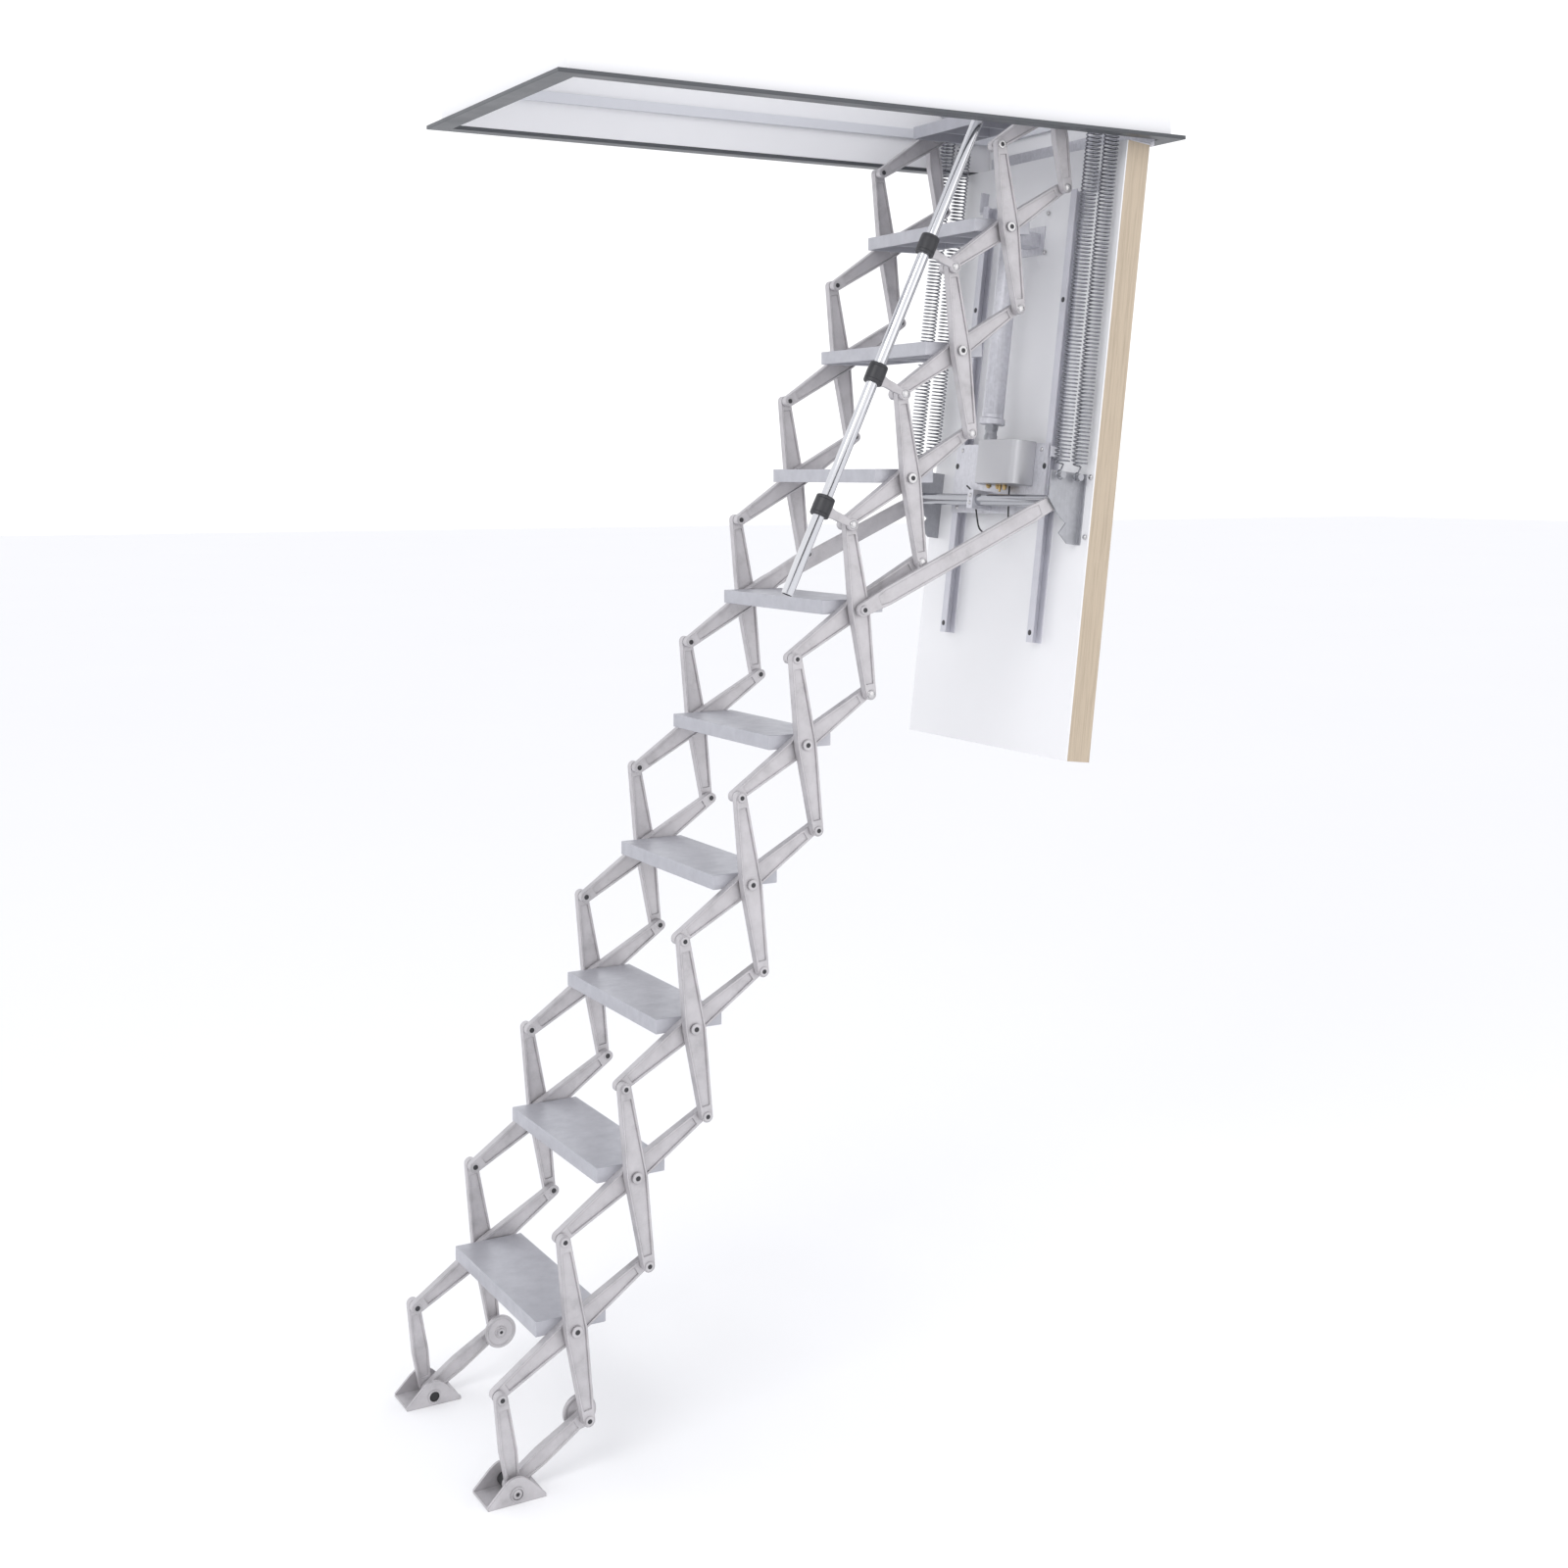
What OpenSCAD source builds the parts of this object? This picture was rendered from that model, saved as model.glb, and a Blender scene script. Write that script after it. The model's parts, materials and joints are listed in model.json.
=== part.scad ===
// Motor-driven concertina loft ladder, let down from its hatch box.
// Origin: centre of the ceiling opening, on the ceiling's lower face. +X points to the hinged end,
// +Y to the climber's left, +Z up. Every piece is drawn with the ladder down and the hatch open.

/* [Ladder] */
// Pivot-to-pivot length of an arm
arm_l = 330; // [320:1:335]
// Slope of the inner (shallow) arms above the horizontal
inner_angle = 32.4; // [30:0.1:34]
// Slope of the outer (steep) arms above the horizontal
outer_angle = 98; // [96:0.5:99]
// Height of the first centre pivot above the floor
first_rise = 269; // [265:1:275]
// Width of an arm at its middle
arm_mid_w = 40; // [34:1:40]
// Radius of an arm's end bosses
arm_end_r = 11; // [10:0.5:12]
// Thickness of an arm
arm_t = 17; // [15:1:17]
// Clear width between the two inner arms
clear_w = 422; // [410:2:424]
// Front-to-back depth of a tread
tread_d = 134; // [120:2:140]
// Height of a tread's casting
tread_t = 27; // [24:1:28]

/* [Hatch box] */
// Outer length of the box
box_l = 1321; // [1321:1:1340]
// Outer width of the box
box_w = 660; // [656:2:680]
// Height of the boards above the ceiling
box_h = 300; // [290:5:350]
// Thickness of the boards
board_t = 18; // [16:1:18]
// Floor to ceiling
room_h = 2483; // [2480:1:2490]

/* [Hatch panel] */
// Length of the panel
panel_l = 1270; // [1240:5:1270]
// Width of the panel
panel_w = 600; // [580:2:600]
// Thickness of the panel
panel_t = 58; // [50:1:58]
// Angle the panel swings open
panel_open = 83; // [80:1:84]

/* [Drive] */
// Radius of the cross tube
cross_r = 12.5; // [11:0.5:13]
// Radius of the spindle tube
spindle_r = 23; // [20:1:23]
// Sideways distance of each rail from the centre
rail_y = 165; // [160:1:170]

/* [Handrail] */
// Radius of the handrail tube
rail_r = 11.5; // [10:0.5:12]
// Length of the handrail tube
rail_l = 1060; // [1000:10:1100]

/* [Hidden] */
sections = 10;
pin_r = 5;
bore_r = pin_r + 0.05;
arm_gap = 2;
half_arm = arm_l / 2;
inner_y = clear_w / 2;
outer_y = inner_y + arm_t + arm_gap;
outer_face = outer_y + arm_t;
pin_end = inner_y + 0.5;
head_t = 2.6;
lever_y = outer_face + 3.5;
lever_t = 8;

function dir(t) = [cos(t), 0, sin(t)];
a_vec = half_arm * dir(inner_angle);
b_vec = half_arm * dir(outer_angle);
step_vec = a_vec + b_vec;
chain_angle = (inner_angle + outer_angle) / 2;
first = [-610.5, 0, first_rise - room_h];
function centre(i) = first + (i - 1) * step_vec;
function front(i) = centre(i) + b_vec;
function rear(i) = centre(i) - b_vec;
top_pivot = centre(sections) + a_vec;

in_x = box_l / 2 - board_t;
in_y = box_w / 2 - board_t;
trim_t = 8;
trim_out = 25;
trim_side = 17;
ledge_z = 63;
ledge_t = 22;
ledge_d = 10;
link_shift = [-130, 0, 192.5];
link_turn = 161.3;
link_y = outer_face + 6;
link_t = 8;
link_w = 30;
post_r = 11;

hinge = [636.5, 0, -15];
knuckle_r = 4.5;
knuckle_n = 9;
knuckle_gap = 0.5;
hinge_pin_r = 2;
face_low = 7;
face_up = face_low + panel_t;
edge_t = 24;
rail_d = 25;
rail_w = 20;
rail_wall = 2.5;
rail_from = 96;
rail_to = 1046;

cross_u = 756;
cross_w = face_up + 60.5;
cross_half = 248;
plate_w = face_up + rail_d + 1;
plate_t = 4;
motor_u = 629;
motor_h = 93;
motor_low = -128;
motor_high = 18;
motor_front = face_up + 80;
spindle_u = 581;
spindle_top = 169;
neck_r = 14;
lever_w = 35;

spring_y = 280;
spring_r = 17;
spring_wire = 3.4;
spring_rows = [26, 70];
spring_low = 703;
anchor_z = [73, 130];
catch_y = 262;
catch_t = 4;
catch_from = 435;
catch_to = 580;
catch_end = 290;

rail_off = 85;
collar_r = 19;
collar_l = 40;
rail_side = lever_y + lever_t + 5 + rail_r;
rail_above = 325;

wheel_r = 31;
foot_half = 53;
foot_in = inner_y - 23;
foot_out = outer_face + 7;
foot_wall = 6;

lead_r = 1.8;
lead_w = 105;
lead_route = [[724, -60], [745, -61], [772, -64], [800, -67], [815, -62], [823, -45], [826, -18],
    [826, 8], [822, 28], [812, 42], [792, 52], [768, 62], [742, 76], [730, 92], [724, 104]];

function two(i) = str(i < 10 ? "0" : "", i);

// ---- helpers ----

// The child and its mirror image on the other side of the ladder
module both_sides() {
    children();
    mirror([0, 1, 0]) children();
}

// A flat outline in X and Z given a thickness, from y0 to y0 + t on the climber's right
module slab(y0, t) {
    translate([0, -y0, 0]) rotate([90, 0, 0]) linear_extrude(t) children();
}

// A rod along Y on the climber's right, from y0 to y1
module rod(y0, y1, r) {
    translate([0, -y0, 0]) rotate([90, 0, 0]) cylinder(h = y1 - y0, r = r, $fn = 48);
}

// Turns the XZ plane by an angle above the horizontal
module tilt(angle) {
    rotate([0, -angle, 0]) children();
}

// Places a piece that is drawn as the closed panel would carry it: X is minus the distance from the hinge
module on_panel() {
    translate(hinge) rotate([0, -panel_open, 0]) children();
}

// Outline of an arm whose pivots are l apart, the first at the origin, widest at mid
module arm_outline(l, mid, w, r) {
    polygon([[0, -r], [mid, -w / 2], [l, -r], [l, r], [mid, w / 2], [0, r]]);
    circle(r, $fn = 48);
    translate([l, 0]) circle(r, $fn = 48);
}

// Hollows in both faces of an arm that leave its raised rim
module arm_pocket(x0, x1, w0, w1) {
    polygon([[x0, -w0 / 2], [x1, -w1 / 2], [x1, w1 / 2], [x0, w0 / 2]]);
}

// One cast arm along X from the origin, with a rim, bosses and pivot bores at the listed places
module arm(l, mid, w, y0, bores) {
    rim = 3.5;
    depth = 3;
    difference() {
        slab(y0, arm_t) arm_outline(l, mid, w, arm_end_r);
        for (face = [y0 - 1, y0 + arm_t - depth])
            slab(face, depth + 1) difference() {
                union() {
                    arm_pocket(20, mid, 2 * arm_end_r - 2 * rim, w - 2 * rim);
                    arm_pocket(mid, l - 20, w - 2 * rim, 2 * arm_end_r - 2 * rim);
                }
                for (x = bores) translate([x, 0]) circle(13, $fn = 48);
            }
        for (x = bores) translate([x, 0, 0]) rod(y0 - 1, y0 + arm_t + 1, bore_r);
    }
}

// A rivet along Y at a pivot: shank from y0 out to the head outside an arm
module rivet(y0, y1, head_y) {
    rod(y0, y1, pin_r);
    rod(head_y, head_y + head_t, 8);
}

// ---- hatch box ----

module box_long_boards() {
    color("white") both_sides()
        translate([-box_l / 2, -box_w / 2, 0]) cube([box_l, board_t, box_h]);
}

module box_end_boards() {
    color("white") for (x = [-box_l / 2, in_x])
        translate([x, -in_y, 0]) cube([board_t, 2 * in_y, box_h]);
}

module trim_frame() {
    color("dimgray") difference() {
        translate([-box_l / 2 - trim_out, -box_w / 2 - trim_side, -trim_t])
            cube([box_l + 2 * trim_out, box_w + 2 * trim_side, trim_t]);
        translate([-in_x, -in_y, -trim_t - 1]) cube([2 * in_x, 2 * in_y, trim_t + 2]);
    }
}

module seal_ledge() {
    notch = 36;
    color("gainsboro") difference() {
        translate([-in_x, -in_y, ledge_z]) cube([2 * in_x, 2 * in_y, ledge_t]);
        translate([-in_x + ledge_d, -in_y + ledge_d, ledge_z - 1])
            cube([2 * (in_x - ledge_d), 2 * (in_y - ledge_d), ledge_t + 2]);
        translate([anchor_x(0) - notch / 2, -in_y - 1, ledge_z - 1])
            cube([notch, 2 * in_y + 2, ledge_t + 2]);
    }
}

// Where the line of spring row k, parallel to the open panel, meets its anchor height
function anchor_u(k) =
    (hinge.z - anchor_z[k] + (face_up + spring_rows[k]) * cos(panel_open)) / sin(panel_open);
function anchor_x(k) =
    hinge.x - anchor_u(k) * cos(panel_open) - (face_up + spring_rows[k]) * sin(panel_open);

// Pivot of the links that carry the ladder's top: the turn about it shifts the top pivot by link_shift
link_pivot = top_pivot + link_shift / 2
    - cross([0, 1, 0], link_shift) / 2 / tan(link_turn / 2);

// Posts that the links turn on, and the pins that the springs hook onto
module top_brackets() {
    mount_t = 6;
    mount_l = 90;
    hook_l = 44;
    hook_disc = [4, 14];
    color("silver") both_sides() {
        translate(link_pivot) {
            rod(link_y + link_t, in_y, post_r);
            rod(link_y - head_t, in_y, pin_r);
        }
        translate([link_pivot.x - mount_l / 2, -in_y, link_pivot.z - mount_l / 2])
            cube([mount_l, mount_t, mount_l]);
        for (k = [0, 1])
            translate([anchor_x(k), 0, anchor_z[k]]) {
                rod(in_y - hook_l, in_y, pin_r);
                rod(in_y - hook_disc[0], in_y, hook_disc[1]);
            }
    }
}

knuckle_pitch = panel_w / knuckle_n;

// Every second knuckle of the piano hinge, starting with the first or the second
module knuckles(start) {
    for (k = [start:2:knuckle_n - 1])
        translate([0, panel_w / 2 - knuckle_gap / 2 - k * knuckle_pitch, 0])
            rod(0, knuckle_pitch - knuckle_gap, knuckle_r);
}

// Tabs that join every second knuckle to a leaf, from x to x + t, standing on z
module knuckle_tabs(start, x, t, z, h) {
    inset = 1;
    for (k = [start:2:knuckle_n - 1])
        translate([x, panel_w / 2 - (k + 1) * knuckle_pitch + knuckle_gap / 2 + inset, z])
            cube([t, knuckle_pitch - knuckle_gap - 2 * inset, h]);
}

module hinge_fixed() {
    leaf_x = 4;
    leaf_z = 6;
    leaf_t = in_x - hinge.x - leaf_x;
    color("silver") translate(hinge) {
        knuckles(0);
        rod(-panel_w / 2 + knuckle_pitch / 2, panel_w / 2 - knuckle_pitch / 2, hinge_pin_r);
        knuckle_tabs(0, leaf_x - 1.5, leaf_t + 1, -1.5, 10);
        translate([leaf_x, -panel_w / 2, leaf_z]) cube([leaf_t, panel_w, 40]);
    }
}

// ---- hatch panel ----

module panel_board() {
    color("white") on_panel()
        translate([-4 - panel_l + edge_t, -panel_w / 2 + edge_t, face_low])
            cube([panel_l - 2 * edge_t, panel_w - 2 * edge_t, panel_t - 3]);
    color("white") on_panel()
        translate([-4 - panel_l, -panel_w / 2, face_up - 3]) cube([panel_l, panel_w, 3]);
}

module panel_edge_frame() {
    color("burlywood") on_panel() difference() {
        translate([-4 - panel_l, -panel_w / 2, face_low]) cube([panel_l, panel_w, panel_t - 3]);
        translate([-4 - panel_l + edge_t, -panel_w / 2 + edge_t, face_low - 1])
            cube([panel_l - 2 * edge_t, panel_w - 2 * edge_t, panel_t]);
    }
}

// A C-shaped rail, open towards the climber's right, with fixing holes in its front flange
module panel_rails() {
    color("lightsteelblue") on_panel() for (y = [-rail_y, rail_y])
        difference() {
            translate([-rail_to, y - rail_w / 2, face_up])
                cube([rail_to - rail_from, rail_w, rail_d]);
            translate([-rail_to - 1, y - rail_w / 2 - 1, face_up + rail_wall])
                cube([rail_to - rail_from + 2, rail_w - rail_wall + 1, rail_d - 2 * rail_wall]);
            for (u = [330, 680, 1026])
                translate([-u, y, face_up + rail_d - 5]) cylinder(h = 10, r = 4, $fn = 32);
        }
}

// Side view of a catch plate, as distance from the panel's free end and height above its face
catch_u = panel_l + 4;
catch_edge = [[catch_from, 0], [catch_from, 26], [455, 49], [476, 34], [492, 55], [523, 82],
    [catch_to, 82], [catch_to, 0]];

module catch_plates() {
    color("darkgray") on_panel() both_sides() {
        slab(catch_y, catch_t)
            polygon([for (p = catch_edge) [p.x - catch_u, face_up + p.y]]);
        translate([catch_from - catch_u, -catch_y - 14, face_up])
            cube([catch_to - catch_from, 14, 3]);
        for (row = spring_rows)
            translate([-spring_low, 0, face_up + row]) {
                rod(catch_y + catch_t - 1, catch_end, pin_r);
                rod(catch_end - 1, catch_end + 2, 7);
            }
    }
}

module spindle_tube() {
    color("darkgray") on_panel() translate([0, 0, cross_w]) rotate([0, -90, 0]) {
        translate([0, 0, spindle_top]) difference() {
            cylinder(h = spindle_u - spindle_top, r = spindle_r, $fn = 64);
            translate([0, 0, 8]) cylinder(h = spindle_u, r = neck_r + 0.5, $fn = 64);
        }
        translate([0, 0, spindle_u]) difference() {
            cylinder(h = 14, r = 27.5, $fn = 64);
            translate([0, 0, -1]) cylinder(h = 20, r = neck_r + 0.5, $fn = 64);
        }
    }
}

// Upper spindle bracket, small angle plates beside the rails, and the hinge's moving leaf
module panel_brackets() {
    color("silver") on_panel() {
        difference() {
            translate([-spindle_top - 34, -26, face_up]) cube([30, 52, cross_w - face_up + 12]);
            translate([-spindle_top - 60, 0, cross_w]) rotate([0, 90, 0])
                cylinder(h = 80, r = spindle_r, $fn = 64);
        }
        translate([-spindle_top - 50, -40, face_up]) cube([62, 80, 3]);
        for (y = [-222, 196]) translate([-104, y, face_up]) {
            cube([44, 26, 3]);
            cube([44, 3, 20]);
        }
        difference() {
            knuckles(1);
            rod(-panel_w / 2, panel_w / 2, hinge_pin_r + 0.05);
        }
        knuckle_tabs(1, -4, 2, 2.4, 8);
        translate([-4, -panel_w / 2, 6]) cube([2, panel_w, 50]);
    }
}

// ---- carriage and drive ----

module carriage_plate() {
    color("silver") on_panel() {
        difference() {
            translate([-782, -rail_y - 8, plate_w]) cube([150, 2 * rail_y + 16, plate_t]);
            for (y = [-rail_y, rail_y]) translate([-680, y, plate_w - 1])
                cylinder(h = plate_t + 2, r = 4.5, $fn = 32);
        }
        for (y = [-rail_y, rail_y], u = [660, 772]) {
            shoe_y = y - rail_w / 2 - 8;
            translate([-u, shoe_y, face_up + 6]) cube([22, 18, rail_d - 12]);
            translate([-u, shoe_y, face_up + 6]) cube([22, 7, plate_w - face_up - 5]);
        }
        difference() {
            translate([-cross_u - 20, 18, plate_w + plate_t])
                cube([40, 21, cross_w - plate_w - plate_t + 18]);
            translate([-cross_u, 50, cross_w]) rod(0, 60, cross_r);
        }
    }
}

module cross_tube() {
    color("gainsboro") on_panel() translate([-cross_u, 0, cross_w]) {
        translate([0, cross_half, 0]) rod(0, 2 * cross_half, cross_r);
        both_sides() {
            rod(cross_half - 1, lever_y + lever_t + 0.5, 6);
            rod(lever_y + lever_t + 0.5, lever_y + lever_t + 3, 9);
        }
    }
}

module motor_housing() {
    motor_w = plate_w + plate_t;
    color("silver") on_panel() {
        translate([-motor_u - motor_h, 0, 0]) rotate([90, 0, 90]) linear_extrude(motor_h)
            polygon([[motor_low, motor_w], [motor_high, motor_w], [motor_high, motor_front - 4],
                [motor_high - 4, motor_front], [motor_low + 22, motor_front],
                [motor_low + 8, motor_front - 6], [motor_low, motor_front - 20]]);
        translate([-motor_u - motor_h + 2, motor_high, motor_w]) cube([motor_h - 6, 46, 12]);
    }
}

module drive_rod() {
    color("gray") on_panel() translate([0, 0, cross_w]) rotate([0, -90, 0])
        translate([0, 0, 330]) cylinder(h = motor_u - 330, r = neck_r, $fn = 48);
}

// A round tube swept along points, as rings of n corners joined in order
function unit(v) = v / norm(v);
function along(p, i) = unit(p[min(i + 1, len(p) - 1)] - p[max(i - 1, 0)]);
function ring(p, i, r, n) =
    let (t = along(p, i), s = unit(cross(t, [0, 0, 1])), v = cross(s, t))
    [for (k = [0:n - 1]) p[i] + r * (cos(360 * k / n) * s + sin(360 * k / n) * v)];
module swept(p, r, n) {
    m = len(p);
    sides = [for (i = [0:m - 2], k = [0:n - 1])
        [i * n + k, i * n + (k + 1) % n, (i + 1) * n + (k + 1) % n, (i + 1) * n + k]];
    ends = [[for (k = [n - 1:-1:0]) k], [for (k = [0:n - 1]) (m - 1) * n + k]];
    polyhedron([for (i = [0:m - 1]) each ring(p, i, r, n)], concat(sides, ends));
}

module motor_lead() {
    color("black") on_panel()
        swept([for (p = lead_route) [-p.x, p.y, lead_w]], lead_r, 8);
}

// Place of the cross tube, and the lever arm's length and slope from it to section six's centre
cross_at = [hinge.x - cross_u * cos(panel_open) - cross_w * sin(panel_open), 0,
    hinge.z - cross_u * sin(panel_open) + cross_w * cos(panel_open)];
lever_vec = centre(6) - cross_at;
lever_l = norm(lever_vec);
lever_angle = atan2(lever_vec.z, lever_vec.x);

module lever_arms() {
    color("silver") both_sides() translate(cross_at) tilt(lever_angle) {
        difference() {
            slab(lever_y, lever_t) {
                polygon([[0, -14], [60, -lever_w / 2], [lever_l - 60, -lever_w / 2],
                    [lever_l, -13], [lever_l, 13], [lever_l - 60, lever_w / 2],
                    [60, lever_w / 2], [0, 14]]);
                circle(14, $fn = 48);
                translate([lever_l, 0]) circle(13, $fn = 48);
            }
            slab(lever_y + lever_t - 1.5, 3)
                polygon([[40, -10], [60, -12.5], [lever_l - 60, -12.5], [lever_l - 40, -9],
                    [lever_l - 40, 9], [lever_l - 60, 12.5], [60, 12.5], [40, 10]]);
            rod(lever_y - 1, lever_y + lever_t + 1, 6.05);
        }
        translate([lever_l, 0, 0]) rod(lever_y + lever_t - 1, lever_y + lever_t + 3, 9);
    }
}

// ---- springs ----

// One extension spring: an outer sleeve of the coil, with a loop at each end
module spring(k) {
    from = anchor_u(k);
    to = spring_low;
    loop_r = 9;
    end_gap = 20;
    on_panel() both_sides() translate([0, -spring_y, face_up + spring_rows[k]]) {
        translate([-to + end_gap, 0, 0]) rotate([0, 90, 0]) difference() {
            cylinder(h = to - from - 2 * end_gap, r = spring_r, $fn = 48);
            translate([0, 0, 6]) cylinder(h = to - from - 2 * end_gap - 12, r = spring_r - spring_wire, $fn = 48);
        }
        for (u = [from, to]) translate([-u, 0, 0]) rotate([90, 0, 0])
            rotate_extrude($fn = 32) translate([loop_r, 0]) circle(spring_wire / 2, $fn = 16);
        for (x = [-from - end_gap - 1, -to + loop_r])
            translate([x, 0, 0]) rotate([0, 90, 0])
                cylinder(h = end_gap - loop_r + 1, r = spring_wire / 2, $fn = 16);
    }
}

module springs_front() {
    color("gray") spring(1);
}

module springs_rear() {
    color("gray") spring(0);
}

// ---- ladder ----

// Links at the top of the ladder, and the axle that the topmost inner arms hang from
module top_links() {
    color("gainsboro") {
        translate(top_pivot) rod(-link_y - link_t, link_y + link_t, pin_r);
        both_sides() difference() {
            slab(link_y, link_t) {
                hull() {
                    translate([top_pivot.x, top_pivot.z]) circle(link_w / 2, $fn = 48);
                    translate([link_pivot.x, link_pivot.z]) circle(link_w / 2, $fn = 48);
                }
            }
            translate(link_pivot) rod(link_y - 1, link_y + link_t + 1, bore_r);
        }
    }
}

module inner_arms(i) {
    color("silver") both_sides() translate(centre(i) - a_vec) tilt(inner_angle)
        arm(arm_l, half_arm, arm_mid_w, inner_y, [0, half_arm, arm_l]);
}

// A steep arm pair with its rivets; the topmost pair is a half arm from its centre down
module outer_arms(i) {
    full = i < sections;
    color("silver") translate(rear(i)) tilt(outer_angle) both_sides() {
        arm(full ? arm_l : half_arm, full ? half_arm : 100, full ? arm_mid_w : 32, outer_y, []);
        rivet(i == 1 ? inner_y - 17 : pin_end, outer_face, outer_face);
        translate([half_arm, 0, 0]) rivet(pin_end, outer_face, outer_face);
        if (full) translate([arm_l, 0, 0]) rivet(pin_end, outer_face, outer_face);
    }
    // Longer shanks on the climber's right for the handrail's brackets
    if (i >= 6 && i <= 8) color("silver") translate(front(i))
        rod(outer_face, lever_y + lever_t + 0.5, pin_r);
}

// A tread: cast plate with a turned-down rim and stiffening ribs, open underneath
module tread(i) {
    front_x = -64;
    top_z = 18;
    wall = 3;
    rib = 2.5;
    skin = 3.5;
    color("lightgray") translate(centre(i) + [front_x, -inner_y, top_z - tread_t]) difference() {
        cube([tread_d, clear_w, tread_t]);
        for (k = [0:3]) {
            bay = (clear_w - 2 * wall - 3 * rib) / 4;
            translate([wall, wall + k * (bay + rib), -1])
                cube([tread_d - 2 * wall, bay, tread_t + 1 - skin]);
        }
    }
}

module lower_inner_arms() {
    color("silver") both_sides() translate(first - step_vec) tilt(inner_angle)
        arm(half_arm, 70, 30, inner_y, [0, half_arm]);
}

module lower_outer_arms() {
    color("silver") translate(first - step_vec) tilt(outer_angle) both_sides() {
        arm(half_arm, 70, 30, outer_y, []);
        rod(foot_in - 5, foot_out + foot_wall - 1, pin_r);
        translate([half_arm, 0, 0]) rivet(pin_end, outer_face, outer_face);
    }
}

foot_pivot_h = first.z - step_vec.z + room_h;

// Side view of a foot's ear: flat sole, sloping ends and a round arch over the pivot
module ear_outline() {
    arch_r = 30;
    polygon([[-foot_half, -foot_pivot_h], [foot_half, -foot_pivot_h], [foot_half, 6 - foot_pivot_h],
        [22, 20], [-22, 20], [-foot_half, 6 - foot_pivot_h]]);
    circle(arch_r - 1, $fn = 64);
}

module foot_shoes() {
    color("silver") translate(first - step_vec) both_sides() {
        for (y0 = [foot_in - foot_wall, foot_out]) difference() {
            slab(y0, foot_wall) intersection() {
                ear_outline();
                translate([-foot_half, -foot_pivot_h]) square([2 * foot_half, 60]);
            }
            rod(y0 - 1, y0 + foot_wall + 1, bore_r);
        }
        translate([-foot_half, -foot_out - 1, -foot_pivot_h])
            cube([2 * foot_half, foot_out - foot_in + 2, 5]);
    }
}

module foot_rollers() {
    roller_r = 11.5;
    color([0.08, 0.08, 0.08]) translate(first - step_vec) both_sides() {
        difference() {
            rod(foot_in + 0.5, inner_y - 1, roller_r);
            rod(foot_in - 1, inner_y, bore_r);
        }
        rod(foot_out + foot_wall, foot_out + foot_wall + 2.5, 9);
    }
}

module wheels() {
    color("silver") translate(rear(1)) both_sides() difference() {
        union() {
            rod(inner_y - 15, inner_y - 6, wheel_r);
            rod(inner_y - 6, inner_y - 1, 9);
        }
        rod(inner_y - 20, inner_y, bore_r);
    }
}

// ---- handrail ----

// Centre of the collar beside front pivot i
function collar_at(i) = front(i) + rail_off * dir(chain_angle + 90);

module handrail_tube() {
    color("gainsboro") translate(collar_at(8) + [0, -rail_side, 0]) tilt(chain_angle)
        rotate([0, 90, 0]) translate([0, 0, rail_above - rail_l]) difference() {
            cylinder(h = rail_l, r = rail_r, $fn = 48);
            translate([0, 0, 4]) cylinder(h = rail_l - 8, r = rail_r - 1.5, $fn = 48);
        }
}

// A black collar on the handrail with the cast bracket that reaches to a front pivot
module collar(i, bore) {
    color([0.1, 0.1, 0.1]) translate(collar_at(i) + [0, -rail_side, 0]) tilt(chain_angle)
        rotate([0, 90, 0]) difference() {
            translate([0, 0, -collar_l / 2]) cylinder(h = collar_l, r = collar_r, $fn = 48);
            translate([0, 0, -collar_l]) cylinder(h = 2 * collar_l, r = bore, $fn = 48);
        }
    color("silver") translate(front(i)) tilt(chain_angle + 90) difference() {
        slab(lever_y, lever_t) {
            polygon([[0, -12], [30, -9], [rail_off - collar_r + 2, -13],
                [rail_off - collar_r + 2, 13], [30, 9], [0, 12]]);
            circle(12, $fn = 48);
        }
        rod(lever_y - 1, lever_y + lever_t + 1, bore_r);
    }
}

module collar_top() {
    collar(8, rail_r);
}

module collar_mid() {
    collar(7, rail_r + 0.3);
}

module collar_low() {
    collar(6, rail_r + 0.3);
}

// ---- nodes ----

box_long_boards();
box_end_boards();
trim_frame();
seal_ledge();
top_brackets();
hinge_fixed();
panel_board();
panel_edge_frame();
panel_rails();
catch_plates();
spindle_tube();
panel_brackets();
carriage_plate();
cross_tube();
motor_housing();
drive_rod();
motor_lead();
lever_arms();
springs_front();
springs_rear();
top_links();
lower_inner_arms();
lower_outer_arms();
foot_shoes();
foot_rollers();
wheels();
handrail_tube();
collar_top();
collar_mid();
collar_low();
for (i = [1:sections]) {
    tread(i);
    inner_arms(i);
    outer_arms(i);
}
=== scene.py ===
"""Looks of a motor-driven concertina loft ladder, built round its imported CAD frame.

Lengths are in metres, in the row frame: the origin is the centre of the ceiling opening, +X
points to the hinged end, +Y to the climber's left and +Z up.
"""

import json
import math

import bmesh
import bpy
import numpy as np
from mathutils import Matrix, Vector


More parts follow.
